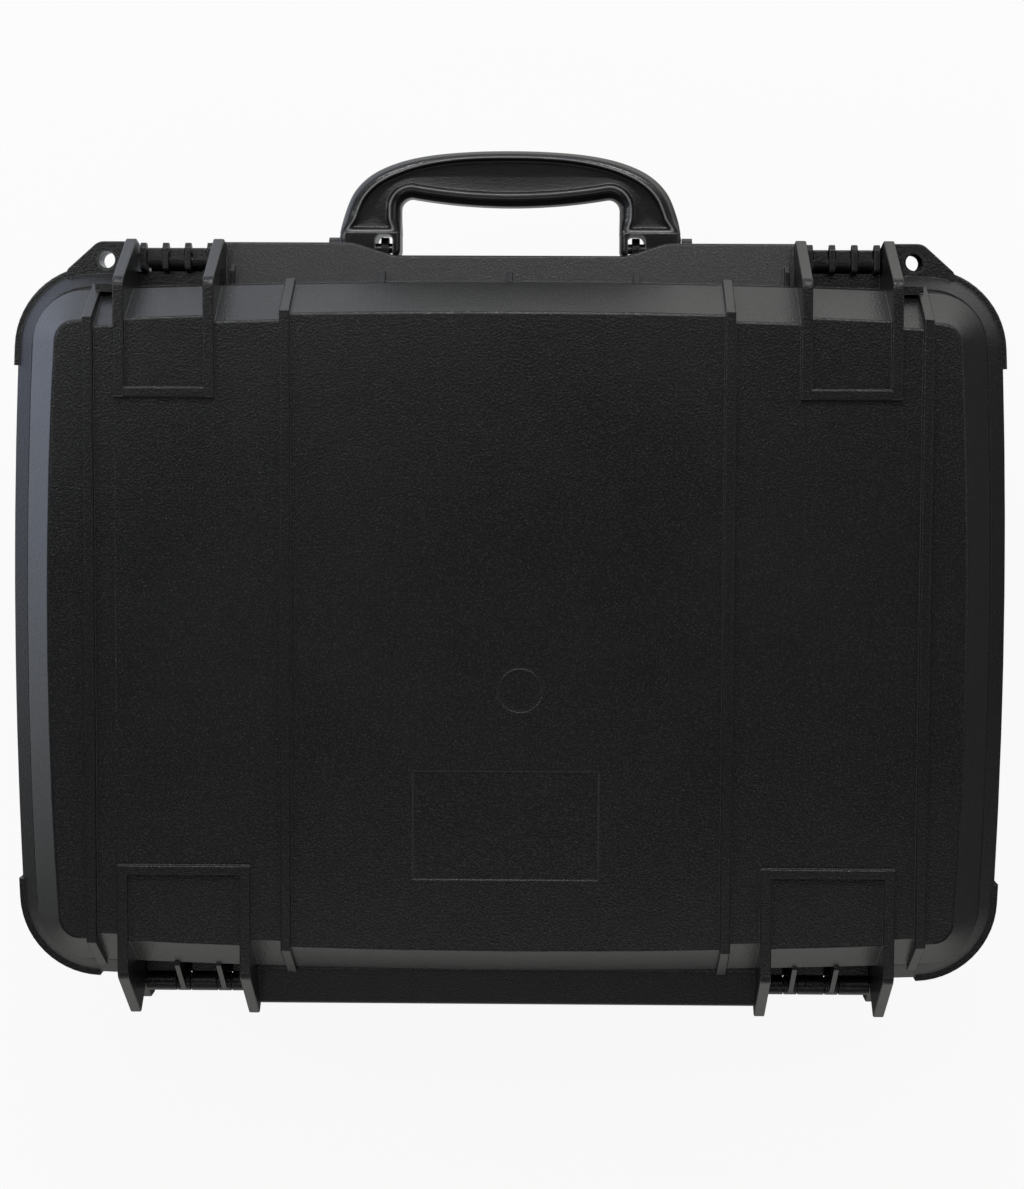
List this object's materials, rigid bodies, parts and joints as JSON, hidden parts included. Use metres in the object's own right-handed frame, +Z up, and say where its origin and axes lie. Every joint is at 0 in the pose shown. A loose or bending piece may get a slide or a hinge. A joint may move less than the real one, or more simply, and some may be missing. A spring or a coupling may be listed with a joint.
{
  "type": "laptop hard case",
  "caption": "Ribbed hard case with a hinged lid, draw latches at the front corners, a folding handle, padlock tabs and a foam lining for a laptop.",
  "frame": {"origin": "on the floor, under the middle of the closed case lying on its base, where the base's bottom ribs rest", "axes": "+Z up through the lid, -Y towards the handle and the latches, +Y towards the hinges, +X across the case"},
  "size_m": [0.4938, 0.4293, 0.1709],
  "materials": {
    "shell": "fine moulded grain",
    "handle_plastic": "smooth",
    "latch_plastic": "smooth",
    "steel": "drawn",
    "foam": "open-cell foam",
    "seal": "matte",
    "valve_plastic": "moulded"
  },
  "bodies": {
    "base": {"base_shell": "shell", "laptop_foam": "foam", "accessory_foam": "foam", "bottom_foam": "foam", "valve_body": "valve_plastic", "valve_plug": "valve_plastic", "valve_seal": "seal", "valve_nut": "valve_plastic", "handle_pin_left": "steel", "handle_pin_right": "steel", "base_padlock_sleeve_left": "steel", "base_padlock_sleeve_right": "steel"},
    "lid": {"lid_shell": "shell", "lid_gasket": "seal", "lid_foam": "foam", "hinge_pin_left": "steel", "hinge_pin_right": "steel", "latch_pivot_pin_left": "steel", "latch_pivot_pin_right": "steel", "lid_padlock_sleeve_left": "steel", "lid_padlock_sleeve_right": "steel"},
    "handle": {"handle": "handle_plastic"},
    "latch_lever_left": {"latch_lever_left": "latch_plastic", "latch_link_pin_left": "steel"},
    "latch_claw_left": {"latch_claw_left": "latch_plastic"},
    "latch_lever_right": {"latch_lever_right": "latch_plastic", "latch_link_pin_right": "steel"},
    "latch_claw_right": {"latch_claw_right": "latch_plastic"}
  },
  "joints": [
    {"name": "lid_hinge", "type": "hinge", "parent": "base", "child": "lid", "pos_m": [0, 0.1815, 0.1182], "axis": [-1, 0, 0], "range_deg": [0, 100]},
    {"name": "handle_swing", "type": "hinge", "parent": "base", "child": "handle", "pos_m": [0, -0.1878, 0.1045], "axis": [1, 0, 0], "range_deg": [0, 90]},
    {"name": "latch_lever_left", "type": "hinge", "parent": "lid", "child": "latch_lever_left", "pos_m": [-0.1639, -0.1807, 0.1214], "axis": [-1, 0, 0], "range_deg": [0, 95]},
    {"name": "latch_claw_left", "type": "hinge", "parent": "latch_lever_left", "child": "latch_claw_left", "pos_m": [-0.1639, -0.1776, 0.1124], "axis": [-1, 0, 0], "range_deg": [-95, 0]},
    {"name": "latch_lever_right", "type": "hinge", "parent": "lid", "child": "latch_lever_right", "pos_m": [0.1639, -0.1807, 0.1214], "axis": [-1, 0, 0], "range_deg": [0, 95]},
    {"name": "latch_claw_right", "type": "hinge", "parent": "latch_lever_right", "child": "latch_claw_right", "pos_m": [0.1639, -0.1776, 0.1124], "axis": [-1, 0, 0], "range_deg": [-95, 0]}
  ],
  "couplings": [
    {"joint": "latch_claw_left", "follows": "latch_lever_left", "ratio": -1},
    {"joint": "latch_claw_right", "follows": "latch_lever_right", "ratio": -1}
  ]
}
